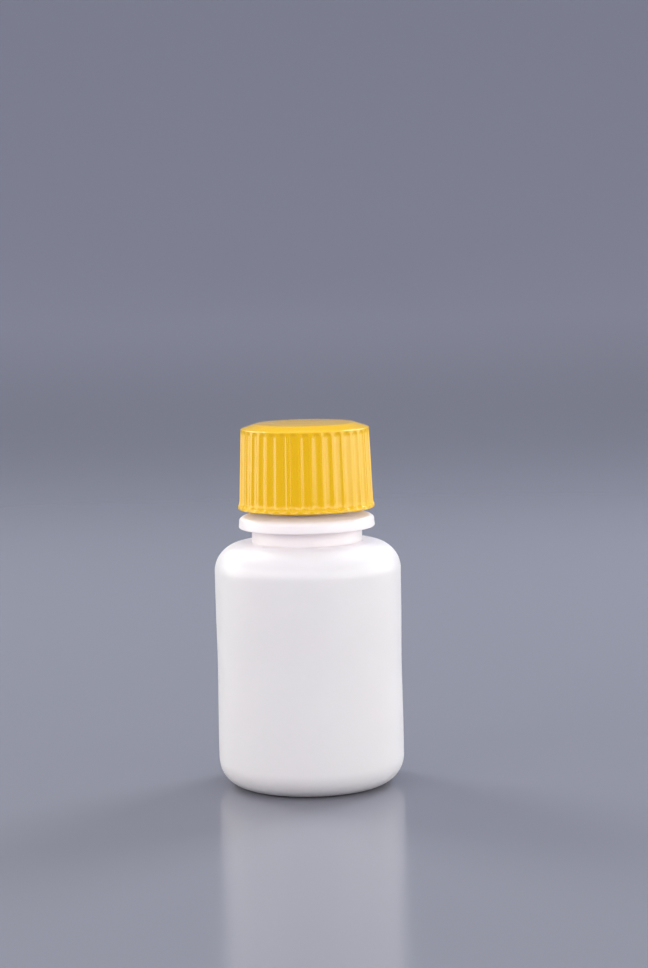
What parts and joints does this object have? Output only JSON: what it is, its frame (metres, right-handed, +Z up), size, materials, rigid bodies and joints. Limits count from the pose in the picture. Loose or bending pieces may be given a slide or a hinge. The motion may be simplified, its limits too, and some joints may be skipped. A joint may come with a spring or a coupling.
{
  "type": "reagent bottle",
  "caption": "Small round translucent plastic reagent bottle with a collared, threaded neck and a fluted screw cap over a loose sealing disc.",
  "frame": {"origin": "centre of the foot, on the surface that the bottle stands on", "axes": "+Z up along the bottle's axis, towards the cap"},
  "size_m": [0.034, 0.034, 0.0664],
  "materials": {
    "natural_polyethylene": "translucent milky white, satin, blow-moulded",
    "yellow_polypropylene": "opaque yellow, semi-gloss, injection-moulded",
    "foamed_polyethylene": "matt white closed-cell foam sheet"
  },
  "bodies": {
    "bottle": {"bottle": "natural_polyethylene"},
    "liner": {"liner": "foamed_polyethylene"},
    "cap": {"cap": "yellow_polypropylene"}
  },
  "joints": [
    {"name": "cap_lift", "type": "slide", "parent": "bottle", "child": "liner", "axis": [0, 0, 1], "range_m": [0, 0.0143]},
    {"name": "cap_turn", "type": "hinge", "parent": "liner", "child": "cap", "pos_m": [0, 0, 0.06], "axis": [0, 0, 1], "range_deg": [0, 1620]}
  ],
  "couplings": [
    {"joint": "cap_lift", "follows": "cap_turn", "m_per_rad": 0.00050532}
  ]
}
